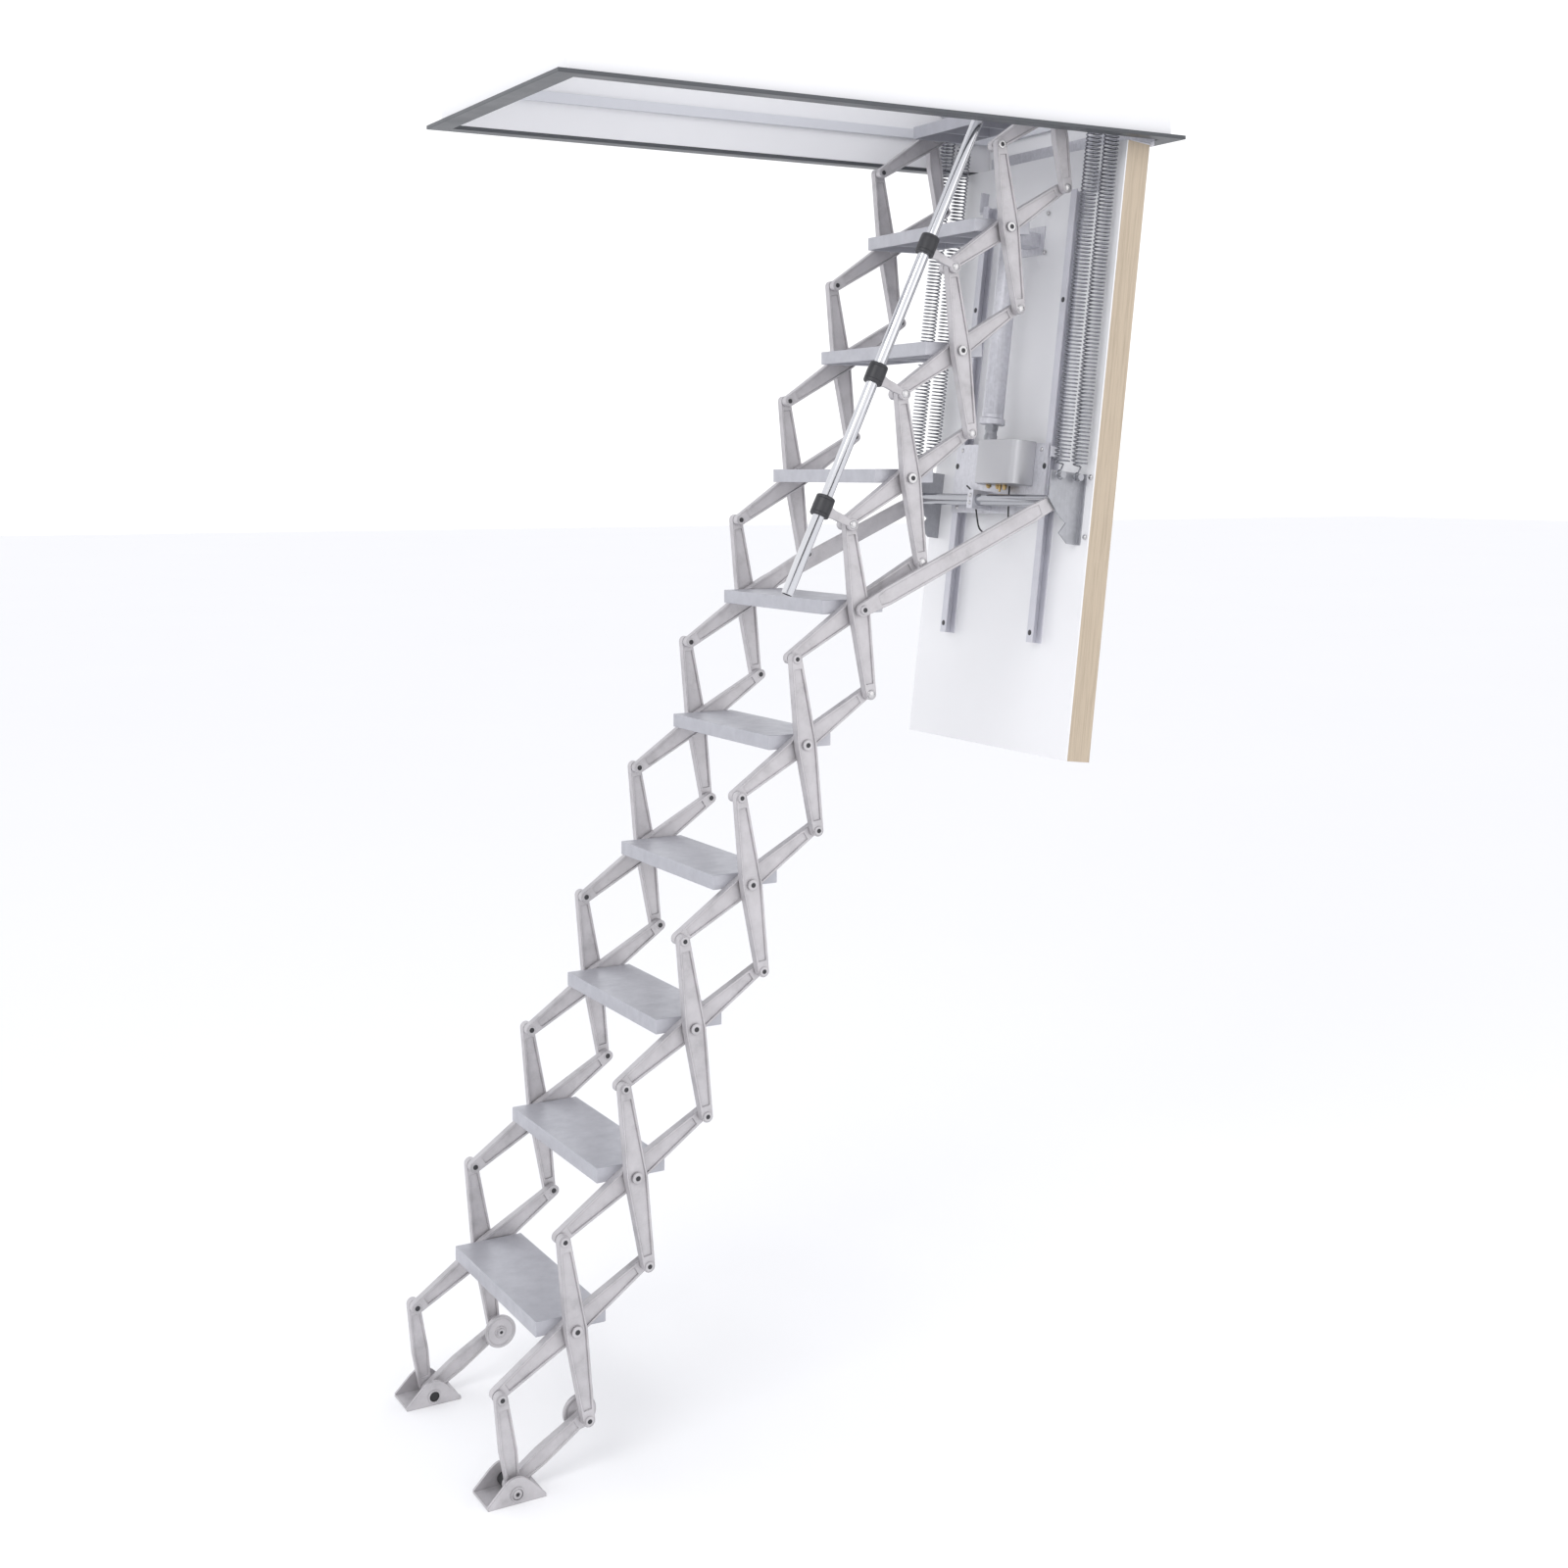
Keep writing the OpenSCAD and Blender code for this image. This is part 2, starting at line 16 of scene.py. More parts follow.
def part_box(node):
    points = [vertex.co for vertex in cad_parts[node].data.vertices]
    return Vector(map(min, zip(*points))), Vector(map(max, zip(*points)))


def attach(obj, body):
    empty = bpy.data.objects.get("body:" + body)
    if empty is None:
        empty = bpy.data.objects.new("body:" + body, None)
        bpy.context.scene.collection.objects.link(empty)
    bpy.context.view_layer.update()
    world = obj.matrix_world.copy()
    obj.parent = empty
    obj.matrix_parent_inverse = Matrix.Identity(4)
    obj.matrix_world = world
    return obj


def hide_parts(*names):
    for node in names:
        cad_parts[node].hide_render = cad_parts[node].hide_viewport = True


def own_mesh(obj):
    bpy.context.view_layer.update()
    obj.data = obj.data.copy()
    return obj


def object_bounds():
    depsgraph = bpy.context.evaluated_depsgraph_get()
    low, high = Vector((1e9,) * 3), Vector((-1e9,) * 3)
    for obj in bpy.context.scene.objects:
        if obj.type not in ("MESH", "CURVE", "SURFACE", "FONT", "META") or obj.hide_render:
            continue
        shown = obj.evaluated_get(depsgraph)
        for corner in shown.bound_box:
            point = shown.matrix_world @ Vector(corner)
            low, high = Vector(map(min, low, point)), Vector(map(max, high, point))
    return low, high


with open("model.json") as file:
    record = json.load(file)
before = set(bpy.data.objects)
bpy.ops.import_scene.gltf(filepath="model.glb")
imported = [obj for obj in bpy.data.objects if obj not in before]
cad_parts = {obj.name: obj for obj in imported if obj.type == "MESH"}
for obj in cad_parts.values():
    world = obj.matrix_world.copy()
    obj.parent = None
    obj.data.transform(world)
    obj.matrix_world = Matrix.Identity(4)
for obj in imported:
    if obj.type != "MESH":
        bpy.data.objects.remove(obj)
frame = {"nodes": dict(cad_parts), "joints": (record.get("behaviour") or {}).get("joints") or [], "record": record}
cad_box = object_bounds()
NODES = frame["nodes"]
JOINT = {j["name"]: j for j in frame["joints"]}
SLOTS = {p["node"]: p["material_slot"] for p in frame["record"]["subparts"]}


def pivot(name):
    """Where a joint of the record turns."""
    return Vector(JOINT[name]["pos_m"])


# ---- camera and lead ----

SENSOR_MM = 36
FOCAL_MM = 47.08
CAMERA_SHIFT = (-0.073, -0.193)
CAMERA_AT = (-2.0105, -3.638, -0.694)
CAMERA_TILT = math.radians(89.78)
CAMERA_TURN = math.radians(-31.35)
EXPOSURE = 0.32

scene = bpy.context.scene
camera_data = bpy.data.cameras.new("camera")
camera_data.sensor_width = SENSOR_MM
camera_data.lens = FOCAL_MM
camera_data.shift_x, camera_data.shift_y = CAMERA_SHIFT
camera = bpy.data.objects.new("camera", camera_data)
camera.location = CAMERA_AT
camera.rotation_euler = (CAMERA_TILT, 0, CAMERA_TURN)
scene.collection.objects.link(camera)
scene.camera = camera
scene.view_settings.view_transform = "Standard"
scene.view_settings.exposure = EXPOSURE

# The open panel's own directions: U away from the hinge, W out of its face
HINGE = pivot("hatch_hinge")
U = Vector(JOINT["carriage_slide"]["axis"]).normalized()
W = Vector((U.z, 0, -U.x))
SIDEWAYS = Vector((0, 1, 0))


def on_panel(u, y, w):
    """A point on the open panel: distance from the hinge, sideways, height above its back."""
    return HINGE + U * u + W * w + SIDEWAYS * y


def smooth_line(points, steps):
    """A Catmull-Rom line through the points."""
    p = [np.array(q, float) for q in points]
    p = [2 * p[0] - p[1], *p, 2 * p[-1] - p[-2]]
    line = []
    for a, b, c, d in zip(p, p[1:], p[2:], p[3:]):
        for t in np.linspace(0, 1, steps, endpoint=False):
            line.append(0.5 * (2 * b + (c - a) * t + (2 * a - 5 * b + 4 * c - d) * t * t
                               + (3 * b - a - 3 * c + d) * t ** 3))
    return line + [p[-2]]


LEAD_W = 0.105
LEAD_D = 0.0036
LEAD_STEPS = 6
# Points (u, y) on the open panel, listed along the loop
LEAD_ROUTE = [
    (0.724, -0.060), (0.745, -0.061), (0.772, -0.064), (0.800, -0.067), (0.815, -0.062),
    (0.823, -0.045), (0.826, -0.018), (0.826, 0.008), (0.822, 0.028), (0.812, 0.042),
    (0.792, 0.052), (0.768, 0.062), (0.742, 0.076), (0.730, 0.092), (0.724, 0.104)]
lead_line = smooth_line([on_panel(u, y, LEAD_W) for u, y in LEAD_ROUTE], LEAD_STEPS)
lead_curve = bpy.data.curves.new("motor_lead_flex", "CURVE")
lead_curve.dimensions = "3D"
lead_curve.bevel_depth = LEAD_D / 2
lead_curve.bevel_resolution = 4
lead_curve.use_fill_caps = True
spline = lead_curve.splines.new("POLY")
spline.points.add(len(lead_line) - 1)
for dot, at in zip(spline.points, lead_line):
    dot.co = (*at, 1)
lead = bpy.data.objects.new("motor_lead_flex", lead_curve)
scene.collection.objects.link(lead)
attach(lead, "carriage")
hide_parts("motor_lead")

# ---- materials ----


def add(tree, kind, settings=None, **inputs):
    """A new node. An input takes a value or another node's socket."""
    n = tree.nodes.new(kind)
    for k, v in (settings or {}).items():
        setattr(n, k, v)
    for k, v in inputs.items():
        socket = n.inputs[int(k[1:])] if k[0] == "i" and k[1:].isdigit() else n.inputs[k]
        if isinstance(v, bpy.types.NodeSocket):
            tree.links.new(v, socket)
        else:
            socket.default_value = v
    return n


def start(name, rough, metal=0.0, coat=0.0):
    """A material, its tree, its shader and its object coordinates."""
    m = bpy.data.materials.new(name)
    m.use_nodes = True
    tree = m.node_tree
    shader = tree.nodes["Principled BSDF"]
    shader.inputs["Metallic"].default_value = metal
    shader.inputs["Roughness"].default_value = rough
    shader.inputs["Coat Weight"].default_value = coat
    return m, tree, shader, add(tree, "ShaderNodeTexCoord").outputs["Object"]


def stretched(tree, place, scale, turn=(0, 0, 0)):
    """Coordinates turned and then scaled, so that a pattern runs along one direction."""
    turned = add(tree, "ShaderNodeMapping", Vector=place, Rotation=turn)
    return add(tree, "ShaderNodeMapping", Vector=turned.outputs[0], Scale=scale).outputs[0]


def noise(tree, place, scale, detail=3.0, rough=0.55):
    """A cloudy value that stays mostly inside NOISE_RANGE."""
    return add(tree, "ShaderNodeTexNoise", Vector=place, Scale=scale, Detail=detail,
               Roughness=rough).outputs["Fac"]


def ramp(tree, fac, stops):
    """A colour ramp from (position, colour) pairs."""
    n = add(tree, "ShaderNodeValToRGB", Fac=fac)
    while len(n.color_ramp.elements) < len(stops):
        n.color_ramp.elements.new(0.5)
    for e, (at, c) in zip(n.color_ramp.elements, stops):
        e.position = at
        e.color = (*c, 1) if len(c) == 3 else c
    return n.outputs["Color"]


NOISE_RANGE = (0.3, 0.7)


def remap(tree, value, source, target):
    """A value carried from one range to another."""
    n = add(tree, "ShaderNodeMapRange", Value=value)
    labels = ("From Min", "From Max", "To Min", "To Max")
    for label, number in zip(labels, (*source, *target)):
        n.inputs[label].default_value = number
    return n.outputs["Result"]


def spread(tree, fac, low, high):
    """A noise's usual range carried to low..high."""
    return remap(tree, fac, NOISE_RANGE, (low, high))


def weighted(tree, value, factor, plus):
    """The value times a factor, plus another value."""
    n = add(tree, "ShaderNodeMath", {"operation": "MULTIPLY_ADD"}, i0=value, i1=factor, i2=plus)
    return n.outputs[0]


def shade(c, k):
    """A colour made lighter or darker."""
    return tuple(min(1.0, x * k) for x in c)


def bump(tree, shader, height, distance, strength=1.0):
    """Fine relief from a pattern."""
    n = add(tree, "ShaderNodeBump", Height=height, Distance=distance, Strength=strength)
    tree.links.new(n.outputs[0], shader.inputs["Normal"])


def skin(tree, shader, colour, rough):
    """Links a colour and a roughness to the shader."""
    tree.links.new(colour, shader.inputs["Base Color"])
    tree.links.new(rough, shader.inputs["Roughness"])


def finish(name, base, rough, metal=0.0, coat=0.0, blotch=14.0, depth=0.06, grain=900.0,
           grain_h=0.00004, vary=0.08):
    """Cloudy colour, wandering roughness and a fine grain, as on painted or moulded parts."""
    m, tree, shader, place = start(name, rough, metal, coat)
    cloud = noise(tree, place, blotch, 5.0, 0.6)
    low, high = NOISE_RANGE
    colour = ramp(tree, cloud, [(low, shade(base, 1 - depth)), (high, shade(base, 1 + depth))])
    skin(tree, shader, colour, spread(tree, cloud, rough - vary, rough + vary))
    bump(tree, shader, noise(tree, place, grain, 2.0), grain_h)
    return m


def painted_edge_light(tree, colour, width, tone):
    """The colour toned along edges and creases: tone under 1 paints shade there, tone over 1 paints a highlight.
    """
    soft = add(tree, "ShaderNodeBevel", {"samples": 4}, Radius=width)
    surface = add(tree, "ShaderNodeNewGeometry")
    flatness = add(tree, "ShaderNodeVectorMath", {"operation": "DOT_PRODUCT"},
                   i0=soft.outputs[0], i1=surface.outputs["Normal"])
    edge = remap(tree, flatness.outputs["Value"], (0.8, 0.99), (tone, 1.0))
    toned = add(tree, "ShaderNodeVectorMath", {"operation": "SCALE"}, i0=colour, Scale=edge)
    return toned.outputs["Vector"]


def cast_metal(name, base, rough, metal):
    """Sand-cast and tumbled aluminium: cloudy oxide, faint drag marks and a fine pitted skin."""
    m, tree, shader, place = start(name, rough, metal)
    cloud = noise(tree, place, 22.0, 6.0, 0.62)
    marks = noise(tree, stretched(tree, place, (60, 60, 420), (0.3, 0.5, 0)), 3.0, 4.0, 0.7)
    stops = [(0.42, shade(base, 0.76)), (0.64, base), (0.86, shade(base, 1.14))]
    # Painted shade: the colour is darkened along the edges and creases.
    colour = painted_edge_light(tree, ramp(tree, weighted(tree, marks, 0.35, cloud), stops), 0.0022, 0.5)
    skin(tree, shader, colour, spread(tree, cloud, rough - 0.07, rough + 0.1))
    bump(tree, shader, noise(tree, place, 700.0, 3.0, 0.7), 0.00012, 0.6)
    return m


def swirled_metal(name, base, rough, metal):
    """Aluminium with overlapping swirls from a rotary brush."""
    m, tree, shader, place = start(name, rough, metal)
    warp = add(tree, "ShaderNodeTexNoise", Vector=place, Scale=30.0)
    moved = add(tree, "ShaderNodeMix", {"data_type": "VECTOR"}, Factor=0.03, i4=place,
                i5=warp.outputs["Color"])
    cells = add(tree, "ShaderNodeTexVoronoi", {"feature": "SMOOTH_F1"}, Vector=moved.outputs[1],
                Scale=26.0, Smoothness=0.35)
    phase = add(tree, "ShaderNodeMath", {"operation": "MULTIPLY"}, i0=cells.outputs["Distance"], i1=190.0)
    rings = add(tree, "ShaderNodeMath", {"operation": "SINE"}, i0=phase.outputs[0]).outputs[0]
    mixed = weighted(tree, rings, 0.045, noise(tree, place, 34.0, 6.0, 0.65))
    stops = [(0.3, shade(base, 0.95)), (0.5, base), (0.72, shade(base, 1.05))]
    # Painted highlight: the colour is lightened along the tread edges.
    colour = painted_edge_light(tree, ramp(tree, mixed, stops), 0.0018, 1.28)
    skin(tree, shader, colour, spread(tree, mixed, rough + 0.08, rough - 0.08))
    fine = noise(tree, place, 620.0, 3.0, 0.7)
    bump(tree, shader, weighted(tree, rings, 0.12, fine), 0.0001, 0.5)
    return m


# The open panel's lean
ROLL_TURN = (0, math.radians(-7), 0)


def zinc(name, base, rough):
    """Zinc-plated sheet: faceted spangle under a dull film, with streaks where it was rolled."""
    m, tree, shader, place = start(name, rough, 0.6)
    flakes = add(tree, "ShaderNodeTexVoronoi", Vector=place, Scale=150.0)
    grey = add(tree, "ShaderNodeSeparateColor", Color=flakes.outputs["Color"])
    streak = noise(tree, stretched(tree, place, (900, 900, 25), ROLL_TURN), 1.0, 3.0)
    both = weighted(tree, grey.outputs[0], 0.3, streak)
    colour = ramp(tree, both, [(0.35, shade(base, 0.88)), (0.85, shade(base, 1.08))])
    skin(tree, shader, colour, spread(tree, both, rough, rough + 0.08))
    bump(tree, shader, streak, 0.00003, 0.5)
    return m


def polished(name, base):
    """Chrome with a fine grain and finger-dulled patches."""
    m, tree, shader, place = start(name, 0.07, 1.0)
    cloud = noise(tree, place, 14.0, 4.0)
    low, high = NOISE_RANGE
    colour = ramp(tree, cloud, [(low, shade(base, 0.95)), (high, base)])
    skin(tree, shader, colour, spread(tree, cloud, 0.10, 0.15))
    bump(tree, shader, noise(tree, place, 1400.0, 3.0), 0.000003, 0.2)
    return m


def wood(name, pale, dark):
    """Light oak with its grain along the open panel."""
    m, tree, shader, place = start(name, 0.55)
    turn = (0, -math.atan2(-U.x, -U.z), 0)
    bands = noise(tree, stretched(tree, place, (90, 90, 2.2), turn), 3.2, 4.0, 0.55)
    pores = noise(tree, stretched(tree, place, (950, 950, 26), turn), 1.0, 3.0, 0.6)
    stops = [(0.55, dark), (0.8, pale), (0.9, shade(pale, 1.05))]
    colour = ramp(tree, weighted(tree, pores, 0.6, bands), stops)
    skin(tree, shader, colour, spread(tree, pores, 0.62, 0.48))
    bump(tree, shader, pores, 0.0001, 0.5)
    return m


MATERIAL = {
    "white_panel": finish("white_panel", (0.84, 0.84, 0.855), 0.32, coat=0.15, blotch=3.0, depth=0.012,
                          grain=260.0, grain_h=0.00003, vary=0.04),
    "trim_paint": finish("trim_paint", (0.07, 0.075, 0.083), 0.42, blotch=8.0, depth=0.08,
                         grain=420.0, grain_h=0.00006),
    "ledge_paint": finish("ledge_paint", (0.66, 0.67, 0.71), 0.4, blotch=5.0, depth=0.02,
                          grain=300.0, grain_h=0.00004),
    "edge_wood": wood("edge_wood", (0.50, 0.415, 0.315), (0.41, 0.335, 0.25)),
    "galvanised": zinc("galvanised", (0.66, 0.66, 0.70), 0.36),
    "rail_steel": finish("rail_steel", (0.62, 0.62, 0.67), 0.46, metal=0.2, blotch=30.0, depth=0.05,
                         grain=500.0, grain_h=0.00003),
    # The plate steel's base is darker than its own grey: painted shade for the catch plates, which sit in shade.
    "plate_steel": zinc("plate_steel", (0.38, 0.385, 0.41), 0.36),
    "chrome": polished("chrome", (0.66, 0.665, 0.69)),
    "cast_aluminium": cast_metal("cast_aluminium", (0.52, 0.505, 0.52), 0.46, 0.55),
    "tread_aluminium": swirled_metal("tread_aluminium", (0.465, 0.468, 0.505), 0.40, 0.55),
    "spring_steel": finish("spring_steel", (0.27, 0.275, 0.30), 0.28, metal=0.95, blotch=60.0, depth=0.1,
                           grain=1500.0, grain_h=0.00002),
    "black_plastic": finish("black_plastic", (0.028, 0.028, 0.032), 0.42, blotch=40.0, depth=0.2,
                            grain=800.0, grain_h=0.00006),
    "black_rubber": finish("black_rubber", (0.022, 0.022, 0.024), 0.68, blotch=50.0, depth=0.25,
                           grain=1100.0, grain_h=0.00008),
    "lead_rubber": finish("lead_rubber", (0.018, 0.018, 0.02), 0.5, blotch=60.0, depth=0.2,
                          grain=1300.0, grain_h=0.00005),
}
HOUSING = finish("motor_silver", (0.52, 0.52, 0.54), 0.32, metal=0.6, blotch=3.0, depth=0.015,
                 grain=700.0, grain_h=0.00003, vary=0.015)
# A darker copy of the chrome: painted shade standing in for the dark surroundings the cross tube reflects.
SHADED_CHROME = polished("shaded_chrome", (0.42, 0.425, 0.45))
BRASS = finish("terminal_brass", (0.68, 0.50, 0.24), 0.3, metal=1.0, blotch=90.0, depth=0.12,
               grain=1200.0, grain_h=0.00003)
BRIGHT = finish("bright_rivet", (0.58, 0.575, 0.58), 0.26, metal=0.95, blotch=70.0, depth=0.06,
                grain=1500.0, grain_h=0.00002)
lead_curve.materials.append(MATERIAL["lead_rubber"])

# ---- CAD pieces that stay: finish and softened edges ----

EDGE = {"box_long_boards": 0.0008, "box_end_boards": 0.0008, "trim_frame": 0.0012, "seal_ledge": 0.0015,
        "motor_housing": 0.003, "foot_shoes": 0.0012, "catch_plates": 0.0005, "panel_rails": 0.0005}
OTHER_EDGE = 0.0006
ARM_EDGE = 0.001
TREAD_EDGE = 0.0014
BEVEL_FROM = math.radians(40)
# Shaded flat, as the treads are
SHEET = {"panel_rails", "carriage_plate", "panel_brackets", "catch_plates", "trim_frame", "seal_ledge",
         "foot_shoes"}


def edge_width(name):
    """How wide a CAD piece's edges are rounded."""
    if name.startswith("tread"):
        return TREAD_EDGE
    if "arms" in name:
        return ARM_EDGE
    return EDGE.get(name, OTHER_EDGE)


def round_edges(obj, width):
    """A modifier that rounds the edges sharper than BEVEL_FROM."""
    bevel = obj.modifiers.new("edges", "BEVEL")
    bevel.width = width
    bevel.segments = 2
    bevel.limit_method = "ANGLE"
    bevel.angle_limit = BEVEL_FROM
    bevel.use_clamp_overlap = True


def soften(obj, width):
    """Rounds a CAD piece's sharp edges with modifiers, which leave its mesh as it is."""
    weld = obj.modifiers.new("weld", "WELD")
    weld.merge_threshold = 0.00002
    flat = obj.modifiers.new("flat", "DECIMATE")
    flat.decimate_type = "DISSOLVE"
    flat.angle_limit = math.radians(0.4)
    round_edges(obj, width)
    normal = obj.modifiers.new("normals", "WEIGHTED_NORMAL")
    normal.weight = 60


for name, obj in NODES.items():
    obj.data.materials.clear()
    obj.data.materials.append(HOUSING if name == "motor_housing" else MATERIAL[SLOTS[name]])
    smooth = name not in SHEET and not name.startswith("tread")
    obj.data.polygons.foreach_set("use_smooth", [smooth] * len(obj.data.polygons))
    soften(obj, edge_width(name))

# ---- building new pieces ----


def lathe(profile, closed=False, n=36):
    """A solid turned about Z from (radius, height) pairs; a closed profile makes a ring."""
    verts, faces, rings = [], [], []
    for r, h in profile:
        if r == 0:
            rings.append([len(verts)])
            verts.append((0, 0, h))
            continue
        rings.append(list(range(len(verts), len(verts) + n)))
        verts += [(r * math.cos(math.tau * k / n), r * math.sin(math.tau * k / n), h) for k in range(n)]
    pairs = list(zip(rings, rings[1:])) + ([(rings[-1], rings[0])] if closed else [])
    for a, b in pairs:
        for k in range(n):
            j = (k + 1) % n
            if len(a) == 1:
                faces.append((a[0], b[j], b[k]))
            elif len(b) == 1:
                faces.append((a[k], a[j], b[0]))
            else:
                faces.append((a[k], a[j], b[j], b[k]))
    return verts, faces


def tube(line, r, sides=8):
    """A round wire along a line of points, with flat ends."""
    p = np.array([tuple(q) for q in line], float)
    t = np.gradient(p, axis=0)
    t /= np.linalg.norm(t, axis=1)[:, None]
    side = np.cross(t[0], (0.1, 1, 0.05))
    side /= np.linalg.norm(side)
    verts, faces = [], []
    for i in range(len(p)):
        side = side - t[i] * (side @ t[i])
        side /= np.linalg.norm(side)
        up = np.cross(t[i], side)
        for k in range(sides):
            a = math.tau * k / sides
            verts.append(tuple(p[i] + r * (math.cos(a) * side + math.sin(a) * up)))
    for i in range(len(p) - 1):
        for k in range(sides):
            j = (k + 1) % sides
            faces.append((i * sides + k, i * sides + j, (i + 1) * sides + j, (i + 1) * sides + k))
    faces.append(tuple(range(sides))[::-1])
    faces.append(tuple((len(p) - 1) * sides + k for k in range(sides)))
    return verts, faces


def plate(outline, thick):
    """A flat outline in X and Y given a thickness along Z."""
    n = len(outline)
    verts = [(x, y, 0) for x, y in outline] + [(x, y, thick) for x, y in outline]
    faces = [tuple(range(n))[::-1], tuple(range(n, 2 * n))]
    faces += [(k, (k + 1) % n, n + (k + 1) % n, n + k) for k in range(n)]
    return verts, faces


SMOOTH_UNDER = math.radians(38)


class Batch:
    """Several shapes that become one piece."""

    def __init__(self):
        self.verts, self.faces = [], []

    def put(self, shape, where=Matrix.Identity(4)):
        """Adds a shape at a place."""
        verts, faces = shape
        base = len(self.verts)
        self.verts += [tuple(where @ Vector(v)) for v in verts]
        self.faces += [tuple(base + k for k in f) for f in faces]

    def make(self, name, material, body, slot=None, edge=0.0):
        """The piece, riding a body, in the given material. The slot argument is not used."""
        mesh = bpy.data.meshes.new(name)
        mesh.from_pydata(self.verts, [], self.faces)
        bm = bmesh.new()
        bm.from_mesh(mesh)
        bmesh.ops.recalc_face_normals(bm, faces=bm.faces)
        for e in bm.edges:
            e.smooth = len(e.link_faces) != 2 or e.calc_face_angle(0) < SMOOTH_UNDER
        for f in bm.faces:
            f.smooth = True
        bm.to_mesh(mesh)
        bm.free()
        obj = bpy.data.objects.new(name, mesh)
        scene.collection.objects.link(obj)
        mesh.materials.append(material)
        if edge:
            round_edges(obj, edge)
        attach(obj, body)
        return obj

    def make_slot(self, name, slot, body, edge=0.0):
        """The piece in the material of its record slot."""
        return self.make(name, MATERIAL[slot], body, slot, edge)


def facing(at, side):
    """Places a turned shape at a point with its axis pointing out sideways, to +Y or -Y."""
    return Matrix.Translation(at) @ Matrix.Rotation(-side * math.pi / 2, 4, "X")


def basis(at, x, y, z):
    """Places a shape at a point with the given directions for its own X, Y and Z."""
    m = Matrix((x, y, z)).transposed().to_4x4()
    m.translation = at
    return m


def beside(at, side, y, way=1):
    """Places a turned shape on a pivot's line, facing outwards, or inwards if way is -1."""
    return facing(Vector((at.x, side * y, at.z)), side * way)


def on_face(u, y, w):
    """Places a turned shape on the open panel with its axis out of the face."""
    return basis(on_panel(u, y, w), U, SIDEWAYS, W)


# ---- pivots: ring bosses with black discs in their sockets as painted shade, and domed rivets ----

RIVET_HEAD = 0.0026
HEAD_R = 0.0088
END_HOLE = 0.0042
CENTRE_R = 0.0105
CENTRE_HOLE = 0.0046
FIRST_BRIGHT = 6
FACE_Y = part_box("outer_arms_04")[1].y - RIVET_HEAD
COUNT = sum(1 for n in NODES if n.startswith("tread_"))
CENTRE = {i: pivot(f"cross_{i:02d}") for i in range(COUNT + 1)}
REAR = {i: pivot(f"joint_{i - 1:02d}") for i in range(1, COUNT + 1)}
FRONT = {i: 2 * CENTRE[i] - REAR[i] for i in range(1, COUNT + 1)}
FRONT[0] = CENTRE[0] + CENTRE[1] - REAR[1]
RAIL_AT = {8: "rail_top", 7: "rail_mid", 6: "rail_low"}


def boss(r, hole):
    """A machined ring round a socket, standing on the arm's face."""
    return lathe([(hole, 0.0), (hole, 0.0029), (hole + 0.0006, 0.0032), (r - 0.0014, 0.0031),
                  (r - 0.0004, 0.0026), (r, 0.0017), (r, 0.0)], closed=True)


def socket_shade_floor(hole):
    """A black disc a little way down a socket, slightly dished: painted shade for the dark inside the bore."""
    return lathe([(0, 0.00267), (hole * 0.7, 0.0027), (hole + 0.0001, 0.00275),
                  (hole + 0.0001, 0.0015), (0, 0.0015)], n=24)


def dome(r):
    """A snap head."""
    return lathe([(0, 0.0037), (r * 0.35, 0.0036), (r * 0.62, 0.0032), (r * 0.84, 0.0023),
                  (r * 0.96, 0.0012), (r, 0.0), (0, 0.0)])


def heads(i):
    """The pivot heads of outer arm pair i: rings, socket floors and domes."""
    bright = i >= FIRST_BRIGHT
    rings, floors, domes = Batch(), Batch(), Batch()
    places = [("centre", CENTRE[i]), ("rear", REAR[i])] if i else []
    if i < COUNT:
        places.append(("front", FRONT[i]))
    for side in (-1, 1):
        for kind, at in places:
            if kind == "front" and side < 0 and i in RAIL_AT:
                continue
            spot = beside(at, side, FACE_Y)
            if kind == "rear" and bright:
                domes.put(dome(HEAD_R), spot)
                continue
            r, hole = (CENTRE_R, CENTRE_HOLE) if kind == "centre" else (HEAD_R, END_HOLE)
            rings.put(boss(r, hole), spot)
            floors.put(socket_shade_floor(hole), spot)
    body = f"outer_{i:02d}"
    if bright:
        rings.make(f"pivot_rings_{i:02d}", BRIGHT, body)
    else:
        rings.make_slot(f"pivot_rings_{i:02d}", "cast_aluminium", body)
    # The black floors in the pivot bores are painted shade.
    floors.make_slot(f"pivot_sockets_{i:02d}", "black_plastic", body)
    if domes.verts:
        domes.make(f"pivot_domes_{i:02d}", BRIGHT, body)


for i in range(COUNT + 1):
    heads(i)

LEVER_SECTION = 6
LEVER_FACE = 0.2613


def lever_ends():
    """The pivot heads on the outer faces of the levers' ends."""
    rings, sockets = Batch(), Batch()
    at = CENTRE[LEVER_SECTION]
    for side in (-1, 1):
        spot = beside(at, side, LEVER_FACE)
        rings.put(boss(0.0086, CENTRE_HOLE), spot)
        sockets.put(socket_shade_floor(CENTRE_HOLE), spot)
    rings.make_slot("lever_end_rings", "cast_aluminium", "levers")
    # The black floors in these bores are painted shade.
    sockets.make_slot("lever_end_sockets", "black_plastic", "levers")


lever_ends()

INNER_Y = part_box("tread_04")[1].y


